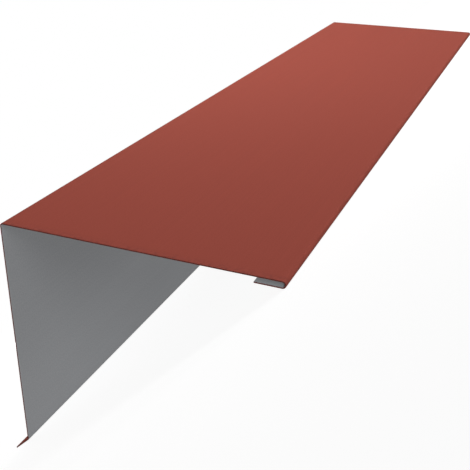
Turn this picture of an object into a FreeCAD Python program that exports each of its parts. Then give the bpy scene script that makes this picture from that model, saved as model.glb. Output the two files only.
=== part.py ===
import FreeCAD, Part
import math
import os

# Right-angled ridge cap: one strip of coated steel sheet, folded along its length.
# Sizes are in millimetres and angles in degrees. The length runs along Y, and +Z is up.

# The sheet, and the length it is cut to
sheet_thickness = 0.7
cap_length = 600.0

# The flange lies on the roof. Its width is over the outside of the fold and of the hem.
flange_width = 150.0

# The hem: the flange's free edge turned back under it and left open.
# The lip's width is from the hem's outermost line to the lip's free edge.
hem_turn = 180.0
hem_gap = 2.4
lip_width = 15.0

# The fold is the ridge line, between the flange and the leg.
fold_turn = 90.0
fold_inside_radius = 1.0

# The leg covers the top of the wall.
# Its height is from the flange's outer face to the sharp corner of the kick.
leg_height = 136.0

# The kick throws water clear of the wall.
# Its width is along the coated face, from the same sharp corner to its tip.
kick_turn = 45.0
kick_width = 13.0
kick_inside_radius = 1.0

quarter_turn = 90.0
origin = FreeCAD.Vector(0, 0, 0)
along_cap = FreeCAD.Vector(0, 1, 0)


def turned(direction, angle):
    """Return a direction turned in the plane of the section, from +X towards +Z."""
    cosine = math.cos(math.radians(angle))
    sine = math.sin(math.radians(angle))
    x = direction.x * cosine - direction.z * sine
    z = direction.x * sine + direction.z * cosine
    return FreeCAD.Vector(x, 0, z)


def swung(point, centre, angle):
    """Return a point swung about a centre in the plane of the section."""
    return centre + turned(point - centre, angle)


def setback(radius, turn):
    """Return how far a bend's arc begins before the sharp corner of the face with that radius."""
    return radius * math.tan(math.radians(turn / 2))


def backing(spot, heading):
    """Return the point straight through the sheet from a point of the coated face."""
    return spot + turned(heading, quarter_turn) * sheet_thickness


def run(spot, heading, length):
    """Return the two straight edges of a flat run, and where its coated face ends."""
    end = spot + heading * length
    edges = [
        Part.LineSegment(spot, end).toShape(),
        Part.LineSegment(backing(spot, heading), backing(end, heading)).toShape(),
    ]
    return edges, end


def bend(spot, heading, turn, inside_radius):
    """Return the two arcs of a bend about one centre, where its coated face ends, and the centre.

    A positive turn is towards the sheet's back, so the coated face is then the outside of the bend.
    """
    radius = inside_radius + sheet_thickness if turn > 0 else inside_radius
    centre = spot + turned(heading, math.copysign(quarter_turn, turn)) * radius
    edges = []
    for start in (spot, backing(spot, heading)):
        middle = swung(start, centre, turn / 2)
        end = swung(start, centre, turn)
        edges.append(Part.Arc(start, middle, end).toShape())
    return edges, swung(spot, centre, turn), centre


# Sizes that follow from those above.
# The setbacks are those of the coated face: the outside of the fold, and the inside of the kick.
hem_inside_radius = hem_gap / 2
hem_outside_radius = hem_inside_radius + sheet_thickness
kick_outside_radius = kick_inside_radius + sheet_thickness
fold_setback = setback(fold_inside_radius + sheet_thickness, fold_turn)
kick_setback = setback(kick_inside_radius, kick_turn)
lip_run = lip_width - hem_outside_radius
flange_run = flange_width - hem_outside_radius - fold_setback
leg_run = leg_height - fold_setback - kick_setback
kick_run = kick_width - kick_setback

# The section is drawn in use: flange level, leg hanging.
# The coated face is followed from the lip's free edge, round the hem and the fold, to the kick's tip.
spot = FreeCAD.Vector(flange_width - lip_width, 0, -2 * hem_outside_radius)
heading = FreeCAD.Vector(1, 0, 0)
lip_end = [spot, backing(spot, heading)]

lip_edges, spot = run(spot, heading, lip_run)
hem_edges, spot, hem_centre = bend(spot, heading, hem_turn, hem_inside_radius)
heading = turned(heading, hem_turn)

flange_edges, spot = run(spot, heading, flange_run)
fold_edges, spot, fold_centre = bend(spot, heading, fold_turn, fold_inside_radius)
heading = turned(heading, fold_turn)

leg_edges, spot = run(spot, heading, leg_run)
kick_bend_edges, spot, kick_centre = bend(spot, heading, -kick_turn, kick_inside_radius)
heading = turned(heading, -kick_turn)

kick_edges, spot = run(spot, heading, kick_run)
kick_tip = [spot, backing(spot, heading)]

outline = lip_edges + hem_edges + flange_edges + fold_edges + leg_edges + kick_bend_edges + kick_edges
outline.append(Part.LineSegment(*lip_end).toShape())
outline.append(Part.LineSegment(*kick_tip).toShape())
section = Part.Face(Part.Wire(Part.sortEdges(outline)[0]))
section.translate(-along_cap * cap_length / 2)
sheet = section.extrude(along_cap * cap_length)


def floor_angle(centre, radius):
    """Return the slope of a line that passes just under a round of the leg and just under the hem."""
    reach = hem_centre - centre
    tangent = math.asin((hem_outside_radius - radius) / reach.Length)
    return math.degrees(math.atan2(reach.z, reach.x) - tangent)


# Set down with nothing to hold it, the cap leans over until the hem's round and the kick meet the floor.
# The kick meets it with the back corner of its tip, or with its bend if it is turned up enough.
lean = max(floor_angle(kick_tip[1], 0), floor_angle(kick_centre, kick_outside_radius))
sheet.rotate(origin, along_cap, lean)

# The origin is at the middle of the cap's outline box, on the floor.
box = sheet.BoundBox
sheet.translate(FreeCAD.Vector(-(box.XMin + box.XMax) / 2, 0, -box.ZMin))

os.makedirs("parts", exist_ok=True)
sheet.exportStep("parts/cap_sheet.step")

print("lean", round(lean, 4))
print("box", sheet.BoundBox)
print("volume", round(sheet.Volume, 1), "valid", sheet.isValid(), "solids", len(sheet.Solids))
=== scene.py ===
# %% [markdown]
# The part in this lesson is a right-angled ridge cap: the folded strip of coated steel that covers the top
# edge of a lean-to roof. Its flange lies on the roof, its leg hangs down over the wall, and the two are one
# sheet, seven tenths of a millimetre thick.
#
# A imported model of the solid comes first. It fixes the size and the place of everything, so we load it
# before anything else.

# %% Load the imported part
import math

import bpy
from mathutils import Matrix, Vector, noise


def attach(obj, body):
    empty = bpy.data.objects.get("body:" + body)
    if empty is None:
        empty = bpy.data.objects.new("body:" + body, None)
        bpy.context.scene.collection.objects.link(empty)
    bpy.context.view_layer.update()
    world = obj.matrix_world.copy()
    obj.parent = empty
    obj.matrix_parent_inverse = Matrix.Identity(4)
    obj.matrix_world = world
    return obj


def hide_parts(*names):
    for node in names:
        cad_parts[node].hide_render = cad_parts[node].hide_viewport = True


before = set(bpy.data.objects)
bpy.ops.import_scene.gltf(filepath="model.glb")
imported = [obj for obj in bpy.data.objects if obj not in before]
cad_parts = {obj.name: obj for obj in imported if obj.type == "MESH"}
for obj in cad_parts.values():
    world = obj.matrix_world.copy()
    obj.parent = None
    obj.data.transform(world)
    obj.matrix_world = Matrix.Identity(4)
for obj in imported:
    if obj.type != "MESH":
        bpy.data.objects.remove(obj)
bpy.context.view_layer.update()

# %% [markdown]
# A sheet-metal worker describes a trim like this by a handful of sizes: the width of each flat, the angle of
# each fold and the thickness of the sheet. We write the same list, in metres, and work everything else out
# from it. Widths are taken over the outside of the folds, as they are on a workshop drawing.

# %% Write down the trim's workshop sizes
mm = 0.001
sheet_thickness = 0.7 * mm
cap_length = 600 * mm

flange_width = 150 * mm
hem_gap = 2.4 * mm
lip_width = 15 * mm
fold_inside_radius = 1.0 * mm
leg_height = 136 * mm
kick_width = 13 * mm
kick_inside_radius = 1.0 * mm

hem_turn = math.radians(180)
fold_turn = math.radians(90)
kick_turn = math.radians(45)

hem_outside_radius = hem_gap / 2 + sheet_thickness
fold_outside_radius = fold_inside_radius + sheet_thickness
kick_outside_radius = kick_inside_radius + sheet_thickness
print("over the closed hem, mm:", round(2 * hem_outside_radius / mm, 2))

# %% [markdown]
# The section could be drawn as a curve and extruded, or bent from a plane with Simple Deform modifiers. Both
# make it hard to say which flat ends where. Instead we do what the folding machine does: follow the coated
# face of the strip from one cut edge to the other, going straight along each flat and turning at each fold.
#
# Every stop on the way is noted with its place, the way the sheet is heading, how far along the flat strip
# it lies, and how sharply the sheet is bent there. The finishes use the last two: the place on the strip lays
# out their grain, and the bend says where painted shade darkens the folds.

# %% Make helpers that follow the coated face
flat_step = 4 * mm
fold_step = math.radians(6)
quarter_turn = math.pi / 2

stops = []


def turned(direction, angle):
    """A direction turned in the section's plane, from +X towards +Z."""
    return Matrix.Rotation(-angle, 3, "Y") @ direction


def setback(radius, turn):
    """How far before the sharp corner a fold of that radius begins."""
    return radius * math.tan(abs(turn) / 2)


def note_stop(place, heading, strip_distance, bend):
    """Add one stop on the way across the strip. A bend is 0 on a flat and 1 in the middle of a fold."""
    stops.append({"place": place, "heading": heading, "strip": strip_distance, "bend": bend})


def go_straight(length):
    """Add the stops of one flat, beyond the last stop."""
    last = stops[-1]
    count = math.ceil(length / flat_step)
    for step in range(1, count + 1):
        gone = length * step / count
        note_stop(last["place"] + last["heading"] * gone, last["heading"], last["strip"] + gone, 0.0)


def fold(turn, inside_radius):
    """Add the stops of one fold, and return its centre. A positive turn is towards the sheet's back."""
    last = stops[-1]
    radius = inside_radius + sheet_thickness if turn > 0 else inside_radius
    towards_centre = turned(last["heading"], math.copysign(quarter_turn, turn))
    centre = last["place"] + towards_centre * radius
    count = math.ceil(abs(turn) / fold_step)
    for step in range(1, count + 1):
        angle = turn * step / count
        place = centre + turned(last["place"] - centre, angle)
        bend = math.sin(math.pi * step / count)
        note_stop(place, turned(last["heading"], angle), last["strip"] + radius * abs(angle), bend)
    return centre


print("a stop every", round(flat_step / mm, 1), "mm, and every", round(math.degrees(fold_step)), "degrees")

# %% [markdown]
# With the helpers, the section reads like the folder's own run sheet: lip, hem, flange, fold, leg, kick. It
# is followed as the cap is used, with the flange level and the leg hanging. A flat is shorter than its
# nominal width by what the folds at its two ends take up.

# %% Follow the coated face from the lip to the kick
fold_setback = setback(fold_outside_radius, fold_turn)
kick_setback = setback(kick_inside_radius, kick_turn)

note_stop(Vector((flange_width - lip_width, 0, -2 * hem_outside_radius)), Vector((1, 0, 0)), 0.0, 0.0)
go_straight(lip_width - hem_outside_radius)
hem_centre = fold(hem_turn, hem_gap / 2)
go_straight(flange_width - hem_outside_radius - fold_setback)
fold(fold_turn, fold_inside_radius)
go_straight(leg_height - fold_setback - kick_setback)
kick_centre = fold(-kick_turn, kick_inside_radius)
go_straight(kick_width - kick_setback)

strip_width = stops[-1]["strip"]
print("stops:", len(stops), " strip before folding, mm:", round(strip_width / mm, 1))

# %% [markdown]
# Nobody holds the cap up, so it lies as it comes to rest: leaning over on the round of its hem and the tip
# of its kick, with the fold on top like the ridge of a tent. The floor is the one straight line that passes
# just under both. Its slope is the angle from the kick's tip to the hem's centre, less a little for the
# hem's round.

# %% Find how far the cap leans when it is set down
back_side = turned(stops[-1]["heading"], quarter_turn)
kick_tip = stops[-1]["place"] + back_side * sheet_thickness


def floor_angle(centre, radius):
    """Slope of the line that passes just under a round of the leg and just under the hem."""
    reach = hem_centre - centre
    return math.atan2(reach.z, reach.x) - math.asin((hem_outside_radius - radius) / reach.length)


lean = max(floor_angle(kick_tip, 0), floor_angle(kick_centre, kick_outside_radius))
leaning = Matrix.Rotation(lean, 4, "Y")
lowest = (leaning @ kick_tip).z
left = min((leaning @ stops[-1]["place"]).x, (leaning @ kick_tip).x)
right = (leaning @ hem_centre).x + hem_outside_radius
set_down = Matrix.Translation((-(left + right) / 2, 0, -lowest)) @ leaning
print("lean, degrees:", round(math.degrees(lean), 2))

# %% [markdown]
# Now the coated face itself. A grid carries it: one row of points across the strip, repeated along the
# length. A perfectly flat grid would look like plastic sheet. Thin steel never lies quite flat between its
# folds, so each point is moved a few hundredths of a millimetre in or out, in long soft waves. The folds
# stay straight, because a fold is what makes the sheet stiff.

# %% Place the points of the coated face
length_step = 10 * mm
wave_height = 0.06 * mm
wave_length = 130 * mm
stiff_zone = 25 * mm

columns = len(stops)
rows = round(cap_length / length_step) + 1
fold_places = [stop["strip"] for stop in stops if stop["bend"] > 0]


def waviness(strip_distance, along):
    """How far the sheet stands out of true at a point of the strip, fading out near each fold."""
    to_fold = min(abs(strip_distance - place) for place in fold_places)
    freedom = min(to_fold / stiff_zone, 1.0) ** 2
    spot = Vector((strip_distance, along, 0.0)) / wave_length
    return wave_height * freedom * noise.noise(spot)


grid_points = []
for row in range(rows):
    along = -cap_length / 2 + cap_length * row / (rows - 1)
    for stop in stops:
        outward = turned(stop["heading"], -quarter_turn)
        place = stop["place"] + outward * waviness(stop["strip"], along)
        place.y = along
        grid_points.append(set_down @ place)
print("points:", columns, "across the strip by", rows, "along it")

# %% [markdown]
# Four neighbouring points make one face of the grid. The points are noted in the order in which the strip
# was followed, so the next point across is one further in the list, and the next one along is a whole row
# further. Smooth shading hides the small steps in the folds.

# %% Join the points into the coated face
grid_faces = []
for row in range(rows - 1):
    for column in range(columns - 1):
        corner = row * columns + column
        grid_faces.append((corner, corner + columns, corner + columns + 1, corner + 1))

cap_mesh = bpy.data.meshes.new("folded_cap")
cap_mesh.from_pydata(grid_points, [], grid_faces)
cap_mesh.shade_smooth()
folded_cap = bpy.data.objects.new("folded_cap", cap_mesh)
bpy.context.scene.collection.objects.link(folded_cap)
print("coated face:", len(grid_points), "points,", len(grid_faces), "faces")

# %% [markdown]
# The finishes will want to know where on the strip they are, so each point stores three marks for them. The
# first is its place on the flat strip, before any folding: the coats were rolled on at the mill while the
# strip was flat, and their fine lines should run on round the folds. The other two say how sharply the sheet
# is bent there, and how near it is to a cut edge.
#
# A UV map could carry the flat place too. A named attribute is chosen because it stays in real metres, and
# because the Solidify modifier below copies it to the back of the sheet without any unwrapping.

# %% Work out each point's place on the flat strip, its bend and its nearness to a cut
cut_zone = 3 * mm

flat_places = []
bends = []
cut_nearness = []
for row in range(rows):
    along = cap_length * row / (rows - 1)
    for stop in stops:
        to_cut = min(along, cap_length - along, stop["strip"], strip_width - stop["strip"])
        flat_places += [stop["strip"], along, 0.0]
        bends.append(stop["bend"])
        cut_nearness.append(max(0.0, 1.0 - to_cut / cut_zone))
print("marks worked out for", len(bends), "points")

# %% [markdown]
# Each attribute is filled as soon as it is made. Adding another one moves the mesh's data, and a name kept
# for the first would then write to a place that is no longer there. We also read each one back: a mark that
# is silently zero shows up only as a finish without any grain, which is easy to miss.

# %% Store the marks on the mesh
def store_mark(name, kind, field, values):
    """Store values at the points of the coated face under a name, and read the largest back."""
    mark = cap_mesh.attributes.new(name, kind, "POINT")
    mark.data.foreach_set(field, values)
    stored = [0.0] * len(values)
    mark.data.foreach_get(field, stored)
    print(name, "goes up to", round(max(stored), 3))


store_mark("flat_place", "FLOAT_VECTOR", "vector", flat_places)
store_mark("bend", "FLOAT", "value", bends)
store_mark("cut_nearness", "FLOAT", "value", cut_nearness)

# %% [markdown]
# A Solidify modifier gives the face its thickness, towards the back only, so that the coated face stays
# where it was measured. It also hands out the finishes: the first material slot for the coated face, the
# second for the back, and the third for the cut edges all round.
#
# A very small Bevel then takes the razor edge off the cuts, which is what makes a sheared edge catch a thin
# line of light. It works only where two faces meet at more than its angle limit, so the folds keep their
# shape. Its hardened normals keep the big flats shaded as flats.

# %% Give the sheet its thickness and ease its cut edges
back_slot = 1
cut_edge_slot = 2
towards_back = -1

thicken = folded_cap.modifiers.new("sheet_thickness", "SOLIDIFY")
thicken.thickness = sheet_thickness
thicken.offset = towards_back
thicken.use_even_offset = True
thicken.use_quality_normals = True
thicken.material_offset = back_slot
thicken.material_offset_rim = cut_edge_slot

ease = folded_cap.modifiers.new("eased_cut_edges", "BEVEL")
ease.width = 0.07 * mm
ease.segments = 2
ease.limit_method = "ANGLE"
ease.angle_limit = math.radians(50)
ease.harden_normals = True
print("sheet, mm:", round(thicken.thickness / mm, 2), " eased edge, mm:", round(ease.width / mm, 2))

# %% [markdown]
# Three finishes are needed: the matt red coat, the grey coat on the back, and the bare cut. Each is a recipe
# of a few nodes, so we first make ourselves short helpers: one adds a node and feeds its inputs, one lays
# one colour over another, and two do sums with shares.
#
# The Mix node has several sets of sockets, one for each kind of data, so its colours go by number: input 0
# is the share, inputs 6 and 7 are the two colours, and output 2 is the mixed one.

# %% Make helpers for wiring a finish
def new_finish(name, specular):
    """A new material, and the shader that its recipe ends in."""
    finish = bpy.data.materials.new(name)
    finish.use_nodes = True
    shader = finish.node_tree.nodes["Principled BSDF"]
    shader.inputs["Specular IOR Level"].default_value = specular
    return finish, shader


def add_node(finish, kind, inputs, **settings):
    """Add a node, and feed each input from a value or from another node's output."""
    node = finish.node_tree.nodes.new("ShaderNode" + kind)
    for name, setting in settings.items():
        setattr(node, name, setting)
    for name, source in inputs.items():
        if isinstance(source, bpy.types.NodeSocket):
            finish.node_tree.links.new(source, node.inputs[name])
        else:
            node.inputs[name].default_value = source
    return node


def mixed(finish, share, under, over):
    """The colour made by laying a share of one colour over another."""
    return add_node(finish, "Mix", {0: share, 6: under, 7: over}, data_type="RGBA").outputs[2]


def product(finish, first, second):
    """One share of another."""
    return add_node(finish, "Math", {0: first, 1: second}, operation="MULTIPLY").outputs[0]


def total(finish, first, second):
    """Two shares added together."""
    return add_node(finish, "Math", {0: first, 1: second}, operation="ADD").outputs[0]


print("helpers:", [helper.__name__ for helper in (new_finish, add_node, mixed, product, total)])

# %% [markdown]
# The recipes also need the marks that we stored, and noise of a known size. The noise reads the flat place,
# so its blotches are measured in metres on the strip before folding. Stretched far along one axis they turn
# into roller lines. A noise mostly stays near its middle value, so the last helper picks out the range that
# matters and spreads it to the share we want.

# %% Make helpers that read the strip
def stored_mark(finish, name):
    """The value that a stored mark has at each point of the surface."""
    return add_node(finish, "Attribute", {}, attribute_name=name).outputs["Fac"]


def strip_noise(finish, across, along, detail):
    """Soft noise on the flat strip, whose blotches have about these sizes in metres."""
    flat_place = add_node(finish, "Attribute", {}, attribute_name="flat_place")
    stretch = add_node(finish, "Mapping", {
        "Vector": flat_place.outputs["Vector"],
        "Scale": (1 / across, 1 / along, 1.0),
    })
    cloud = add_node(finish, "TexNoise", {"Vector": stretch.outputs[0], "Scale": 1.0, "Detail": detail})
    return cloud.outputs["Fac"]


def shares(finish, source, low, high, least, most):
    """Turn a noise or a mark from low to high into a share from least to most."""
    spread = add_node(finish, "MapRange", {
        "Value": source, "From Min": low, "From Max": high, "To Min": least, "To Max": most,
    })
    return spread.outputs["Result"]


print("helpers:", [helper.__name__ for helper in (stored_mark, strip_noise, shares)])

# %% [markdown]
# The coated face is a matt polyester in oxide red, 25 to 35 thousandths of a millimetre thick. Seen close,
# it has the dry grain that makes it matt, a fine peel that the oven leaves, and faint lines where the roller
# ran along the coil. Over the width of a hand its colour drifts a little. The grain is the strongest of
# these and the smallest, so it shows when you lean in and melts away a few steps back, as on the real sheet.

# %% Mix the red coat's colour
red_coat, red_shader = new_finish("red_matt_coat", specular=0.05)
coat_deep = (0.265, 0.0590, 0.0424, 1.0)
coat_pale = (0.325, 0.0734, 0.0526, 1.0)

drift = strip_noise(red_coat, across=90 * mm, along=160 * mm, detail=3.0)
roller_lines = strip_noise(red_coat, across=1.4 * mm, along=220 * mm, detail=2.0)
peel = strip_noise(red_coat, across=0.8 * mm, along=0.8 * mm, detail=2.0)
grain = strip_noise(red_coat, across=0.6 * mm, along=0.6 * mm, detail=2.0)

drift_share = product(red_coat, drift, 0.3)
line_share = shares(red_coat, roller_lines, low=0.35, high=0.65, least=0.0, most=0.2)
grain_share = shares(red_coat, grain, low=0.35, high=0.65, least=0.0, most=0.5)
shade = total(red_coat, total(red_coat, drift_share, line_share), grain_share)
flat_colour = mixed(red_coat, shade, coat_deep, coat_pale)
print("red coat, palest over deepest:", round(coat_pale[0] / coat_deep[0], 2))

# %% [markdown]
# Where the sheet is folded, the coat is laid a shade darker, in broken streaks along the fold. This is
# painted
# shade: it stands in for the shade on the rounds of the hem and the fold. Within a millimetre or two of a
# cut, handling leaves the coat dirty. Both could be painted by hand on an unwrapped map. The stored marks do
# it
# without one: each darker colour is laid over the coat by a mark times a noise, so it fades out on the flat
# and stays patchy where it is strong.

# %% Paint shade into the folds, and mark the coat where it was cut
# Painted shade: the dark red laid over the coat along each fold stands in for the shade on its round.
fold_painted_shade = (0.160, 0.0400, 0.0300, 1.0)
coat_handled = (0.170, 0.0480, 0.0400, 1.0)
handled_from = 0.45

fold_shade_noise = strip_noise(red_coat, across=1.5 * mm, along=14 * mm, detail=3.0)
fold_shade_streaks = shares(red_coat, fold_shade_noise, low=0.40, high=0.65, least=0.45, most=0.75)
fold_shade_share = product(red_coat, stored_mark(red_coat, "bend"), fold_shade_streaks)
colour_with_fold_shade = mixed(red_coat, fold_shade_share, flat_colour, fold_painted_shade)

hand_noise = strip_noise(red_coat, across=2.0 * mm, along=2.0 * mm, detail=4.0)
hand_marks = shares(red_coat, hand_noise, low=0.45, high=0.70, least=0.0, most=0.8)
nearness = stored_mark(red_coat, "cut_nearness")
near_cut = shares(red_coat, nearness, low=handled_from, high=1.0, least=0.0, most=1.0)
handled = product(red_coat, near_cut, hand_marks)
red_colour = mixed(red_coat, handled, colour_with_fold_shade, coat_handled)
red_coat.node_tree.links.new(red_colour, red_shader.inputs["Base Color"])
print("handled zone along a cut, mm:", round((1 - handled_from) * cut_zone / mm, 2))

# %% [markdown]
# Colour alone would still look printed on. The same noises move the roughness a little, and the peel and
# the lines raise a low relief. A Bump node is enough for it: the real relief is a few hundredths of a
# millimetre high, far too small to be worth any geometry.

# %% Give the red coat its dry sheen and its relief
sheen_noise = total(red_coat, drift, roller_lines)
sheen = shares(red_coat, sheen_noise, low=0.6, high=1.4, least=0.82, most=0.94)
red_coat.node_tree.links.new(sheen, red_shader.inputs["Roughness"])

surface = total(red_coat, peel, product(red_coat, roller_lines, 0.4))
relief = add_node(red_coat, "Bump", {"Height": surface, "Strength": 0.8, "Distance": 0.03 * mm})
red_coat.node_tree.links.new(relief.outputs["Normal"], red_shader.inputs["Normal"])
print("red coat: nodes", len(red_coat.node_tree.nodes))

# %% [markdown]
# The back carries only a thin wash of grey epoxy, to keep the zinc from staining in the stack. Nobody is
# meant to see it, so it goes on quickly and dries with a fine mottle, coarser than the red coat's grain,
# over faint roller lines. It also has a few long pale scuffs where one blank was slid off another. The
# scuffs are the same stretched noise, with everything but its highest parts cut away.

# %% Mix the grey back coat's colour
grey_coat, grey_shader = new_finish("grey_back_coat", specular=0.08)
wash_deep = (0.265, 0.2702, 0.2790, 1.0)
wash_pale = (0.335, 0.3418, 0.3530, 1.0)
wash_scuffed = (0.370, 0.3750, 0.3830, 1.0)

wash_drift = strip_noise(grey_coat, across=70 * mm, along=120 * mm, detail=3.0)
wash_lines = strip_noise(grey_coat, across=2.2 * mm, along=260 * mm, detail=3.0)
wash_grain = strip_noise(grey_coat, across=0.8 * mm, along=0.8 * mm, detail=2.0)

wash_drift_share = product(grey_coat, wash_drift, 0.4)
wash_line_share = shares(grey_coat, wash_lines, low=0.35, high=0.65, least=0.0, most=0.1)
wash_grain_share = shares(grey_coat, wash_grain, low=0.35, high=0.65, least=0.0, most=0.5)
wash_shade = total(grey_coat, total(grey_coat, wash_drift_share, wash_line_share), wash_grain_share)
wash_colour = mixed(grey_coat, wash_shade, wash_deep, wash_pale)

scuff_noise = strip_noise(grey_coat, across=0.7 * mm, along=55 * mm, detail=2.0)
scuffs = shares(grey_coat, scuff_noise, low=0.68, high=0.80, least=0.0, most=0.5)
grey_colour = mixed(grey_coat, scuffs, wash_colour, wash_scuffed)
grey_coat.node_tree.links.new(grey_colour, grey_shader.inputs["Base Color"])
print("grey coat, palest over deepest:", round(wash_pale[0] / wash_deep[0], 2))

# %% [markdown]
# The wash gets its sheen and its relief in the same way as the red coat. It is a little less dry, and its
# mottle stands up more than its lines.

# %% Give the grey coat its sheen and its relief
wash_sheen_noise = total(grey_coat, wash_drift, wash_lines)
wash_sheen = shares(grey_coat, wash_sheen_noise, low=0.6, high=1.4, least=0.80, most=0.92)
grey_coat.node_tree.links.new(wash_sheen, grey_shader.inputs["Roughness"])

wash_surface = total(grey_coat, wash_grain, product(grey_coat, wash_lines, 0.4))
wash_relief = add_node(grey_coat, "Bump", {"Height": wash_surface, "Strength": 0.8, "Distance": 0.03 * mm})
grey_coat.node_tree.links.new(wash_relief.outputs["Normal"], grey_shader.inputs["Normal"])
print("grey back coat: nodes", len(grey_coat.node_tree.nodes))

# %% [markdown]
# The cut edge is mixed a very dark red-brown rather than silver, much darker than the coat, with a darkened
# fleck of steel here and there. The darkness is painted shade, standing in for the shade on the narrow cut.
# Both ends of the thickness store the same place on the strip, so our noise does not change through the
# sheet, and it draws the short upright streaks that the blade leaves.

# %% Mix the cut edge, darkened with painted shade
cut_edge, cut_shader = new_finish("sheared_edge", specular=0.05)
# Painted shade: these edge colours, the steel fleck too, are kept very dark to stand in for the edge's shade.
edge_painted_shade_deep = (0.044, 0.0105, 0.0080, 1.0)
edge_painted_shade_pale = (0.076, 0.0190, 0.0145, 1.0)
steel_fleck_in_painted_shade = (0.140, 0.1100, 0.1000, 1.0)

blade_streaks = strip_noise(cut_edge, across=0.5 * mm, along=0.5 * mm, detail=3.0)
fleck_noise = strip_noise(cut_edge, across=1.6 * mm, along=1.6 * mm, detail=4.0)
flecks = shares(cut_edge, fleck_noise, low=0.62, high=0.74, least=0.0, most=0.5)
streaked_colour = mixed(cut_edge, blade_streaks, edge_painted_shade_deep, edge_painted_shade_pale)
edge_colour = mixed(cut_edge, flecks, streaked_colour, steel_fleck_in_painted_shade)
cut_edge.node_tree.links.new(edge_colour, cut_shader.inputs["Base Color"])

edge_sheen = shares(cut_edge, flecks, low=0.0, high=1.0, least=0.65, most=0.45)
cut_edge.node_tree.links.new(edge_sheen, cut_shader.inputs["Roughness"])
edge_relief = add_node(cut_edge, "Bump", {"Height": blade_streaks, "Strength": 0.6, "Distance": 0.02 * mm})
cut_edge.node_tree.links.new(edge_relief.outputs["Normal"], cut_shader.inputs["Normal"])

for finish in (red_coat, grey_coat, cut_edge):
    cap_mesh.materials.append(finish)
print("finishes, in slot order:", [finish.name for finish in cap_mesh.materials])

# %% [markdown]
# The studio is a pale floor under an even white surround. The cap should be lit at a plain level, so that
# red looks as red as we mixed it, yet the background should come out white. One brightness cannot do both.
#
# Light Path tells a shader what kind of ray is asking. A ray from the camera, or one mirrored or passed on
# by a glossy or clear surface, gets the white that is meant to be seen. A diffuse ray, which is the one that
# lights the cap, gets the plain level. We wire that question once, for the floor and for the world.

# %% Make the question that floor and world both ask
def is_seen(setting):
    """A socket that is 1 for camera, glossy and transmission rays, and 0 for the rays that light things."""
    ray = add_node(setting, "LightPath", {})
    passed_on = add_node(setting, "Math", {
        0: ray.outputs["Is Glossy Ray"], 1: ray.outputs["Is Transmission Ray"],
    }, operation="MAXIMUM")
    seen = add_node(setting, "Math", {
        0: ray.outputs["Is Camera Ray"], 1: passed_on.outputs[0],
    }, operation="MAXIMUM")
    return seen.outputs[0]


print("helper:", is_seen.__name__)

# %% [markdown]
# The floor that lights the cap is plain matt card, half as bright as white, so that it sends up no more
# light than a pale workshop floor would. The floor that is seen glows almost at white by itself and takes
# only the last step up from the lamps. It is white wherever light reaches it and keeps a soft shadow where
# the cap stands in the way.
#
# Lamps fade with distance, and the floor's far edge would then draw a faint grey line across the background.
# So the glow grows a little with the distance from the cap, until floor and surround are the same white.

# %% Lay the floor
floor_size = 12.0
lit_grey = (0.5, 0.5, 0.5, 1.0)
seen_grey = (0.25, 0.25, 0.25, 1.0)
glow_near_cap = 0.92
glow_far_off = 1.0
glow_starts_to_grow = 0.5
glow_stops_growing = 2.0

bpy.ops.mesh.primitive_plane_add(size=floor_size, location=(0, 0, 0))
studio_floor = bpy.context.object
studio_floor.name = "studio_floor"

floor_card = bpy.data.materials.new("white_card")
floor_card.use_nodes = True
floor_card.node_tree.nodes.clear()
lit_card = add_node(floor_card, "BsdfDiffuse", {"Color": lit_grey})

floor_spot = add_node(floor_card, "NewGeometry", {})
away = add_node(floor_card, "VectorMath", {0: floor_spot.outputs["Position"]}, operation="LENGTH")
glow_there = shares(
    floor_card, away.outputs["Value"], glow_starts_to_grow, glow_stops_growing, glow_near_cap, glow_far_off)
seen_glow = add_node(floor_card, "Emission", {"Strength": glow_there})
seen_card = add_node(floor_card, "BsdfDiffuse", {"Color": seen_grey})
seen_floor = add_node(floor_card, "AddShader", {0: seen_glow.outputs[0], 1: seen_card.outputs[0]})

either_floor = add_node(floor_card, "MixShader", {
    0: is_seen(floor_card), 1: lit_card.outputs[0], 2: seen_floor.outputs[0],
})
add_node(floor_card, "OutputMaterial", {"Surface": either_floor.outputs[0]})
studio_floor.data.materials.append(floor_card)
print("floor, metres:", floor_size)

# %% [markdown]
# The world works the same way. It is plain white to look at, and a weak fill for whatever it lights.

# %% Set the world
white = (1.0, 1.0, 1.0, 1.0)
fill_level = 0.04

studio_world = bpy.data.worlds.new("white_surround")
bpy.context.scene.world = studio_world
studio_world.use_nodes = True
studio_world.node_tree.nodes.clear()
weak_fill = add_node(studio_world, "Background", {"Color": white, "Strength": fill_level})
white_view = add_node(studio_world, "Background", {"Color": white, "Strength": 1.0})
either_world = add_node(studio_world, "MixShader", {
    0: is_seen(studio_world), 1: weak_fill.outputs[0], 2: white_view.outputs[0],
})
add_node(studio_world, "OutputWorld", {"Surface": either_world.outputs[0]})
print("fill:", fill_level)

# %% [markdown]
# Lamps come next. The flange is brightest at its far end and falls off evenly towards us, so its two lamps
# are small, near, and lean towards the far end. A sun lamp or one big overhead panel would light it evenly
# from end to end, and the flange would look flat and unlit.

# %% Hang the lamps over the flange
def soft_lamp(name, place, aim_at, size, watts):
    """An area lamp aimed at a point, and itself left out of the picture."""
    lamp = bpy.data.lights.new(name, "AREA")
    lamp.shape = "RECTANGLE"
    lamp.size, lamp.size_y = size
    lamp.energy = watts
    holder = bpy.data.objects.new(name, lamp)
    holder.location = place
    holder.rotation_euler = (Vector(aim_at) - Vector(place)).to_track_quat("-Z", "Y").to_euler()
    holder.visible_camera = False
    bpy.context.scene.collection.objects.link(holder)
    print(name, "watts:", watts)
    return holder


over_flange = (0.35, 0.35)
soft_lamp("main_lamp", place=(0.2, 0.0, 0.6), aim_at=(-0.3, 0.6, 0.05), size=over_flange, watts=2.25)
soft_lamp("far_half_lamp", place=(0.35, 0.6, 0.6), aim_at=(-0.2, 0.6, 0.05), size=over_flange, watts=2.1)

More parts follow.
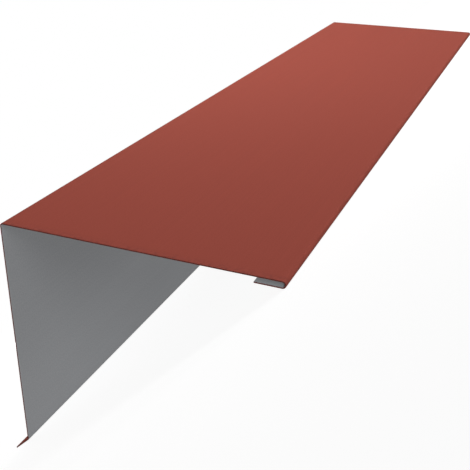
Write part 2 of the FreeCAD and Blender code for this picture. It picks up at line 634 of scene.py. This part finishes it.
# %% [markdown]
# The grey back of the leg faces down under the flange, where no light from above can reach. Only low lamps,
# far off beyond the cap's two open ends, shine in under it, and a weaker one at the side fills the near end.
#
# The camera of this picture does not see the leg's outer side, but the part is looked at from all sides, so
# three more low lamps stand over there.
#
# Low light strikes along the sheet and leaves a pale glare on a matt coat, which soft studio light does not.
# So all low lamps are kept out of the gloss, and light only the colour.

# %% Stand the low lamps round the cap
middle = (0.0, 0.0, 0.05)
far_strip = (0.8, 0.1)

low_lamps = [
    soft_lamp("near_end_lamp", place=(2.24, -3.62, 0.06), aim_at=middle, size=far_strip, watts=170.0),
    soft_lamp("far_end_lamp", place=(0.69, 4.24, 0.06), aim_at=middle, size=far_strip, watts=161.0),
    soft_lamp("side_lamp", place=(1.1, -0.9, 0.08), aim_at=(0.0, -0.2, 0.04), size=(0.6, 0.3), watts=3.5),
    soft_lamp("near_back_lamp", place=(-2.6, -3.2, 0.06), aim_at=middle, size=far_strip, watts=70.0),
    soft_lamp("far_back_lamp", place=(-2.6, 3.2, 0.06), aim_at=middle, size=far_strip, watts=70.0),
    soft_lamp("back_lamp", place=(-1.6, 0.3, 0.12), aim_at=(-0.05, 0.0, 0.05), size=(1.5, 0.2), watts=12.0),
]
for lamp in low_lamps:
    lamp.visible_glossy = False
print("low lamps:", len(low_lamps))

# %% [markdown]
# The camera is set from the picture we follow. There the cap is held with its flange level, so the camera
# was first worked out in that pose: how far back it stands, how it turns and tilts, and how strong the lens
# is. Setting the cap down leaned it over, and the same movement carries the camera with it. The view of the
# cap does not change, only the floor and the horizon do.
#
# The lens axis does not quite meet the middle of the picture, which a small lens shift takes care of.

# %% Set up the camera
picture_size = 470
focal_pixels = 775.365
axis_column = 210.181
axis_row = 244.037
camera_turn = -0.418128
camera_tilt = 0.454441
camera_place = Vector((237.843, -277.798, 159.448)) * mm - Vector((0, cap_length / 2, 0))

lens = bpy.data.cameras.new("picture_lens")
lens.sensor_width = 36
lens.lens = focal_pixels / picture_size * lens.sensor_width
lens.shift_x = 0.5 - axis_column / picture_size
lens.shift_y = axis_row / picture_size - 0.5
lens.clip_start = 10 * mm

level_ahead = Vector((math.sin(camera_turn), math.cos(camera_turn), 0))
ahead = level_ahead * math.cos(camera_tilt) - Vector((0, 0, math.sin(camera_tilt)))
to_right = Vector((math.cos(camera_turn), -math.sin(camera_turn), 0))
aim = Matrix((to_right, to_right.cross(ahead), -ahead)).transposed().to_4x4()

picture_camera = bpy.data.objects.new("picture_camera", lens)
picture_camera.matrix_world = set_down @ Matrix.Translation(camera_place) @ aim
bpy.context.scene.collection.objects.link(picture_camera)
bpy.context.scene.camera = picture_camera
print("camera at", [round(value, 3) for value in picture_camera.matrix_world.translation], "metres")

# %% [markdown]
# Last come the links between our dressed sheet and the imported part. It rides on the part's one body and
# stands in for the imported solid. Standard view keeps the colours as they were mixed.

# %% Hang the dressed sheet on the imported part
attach(folded_cap, "root")
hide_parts("cap_sheet")
bpy.context.scene.view_settings.view_transform = "Standard"
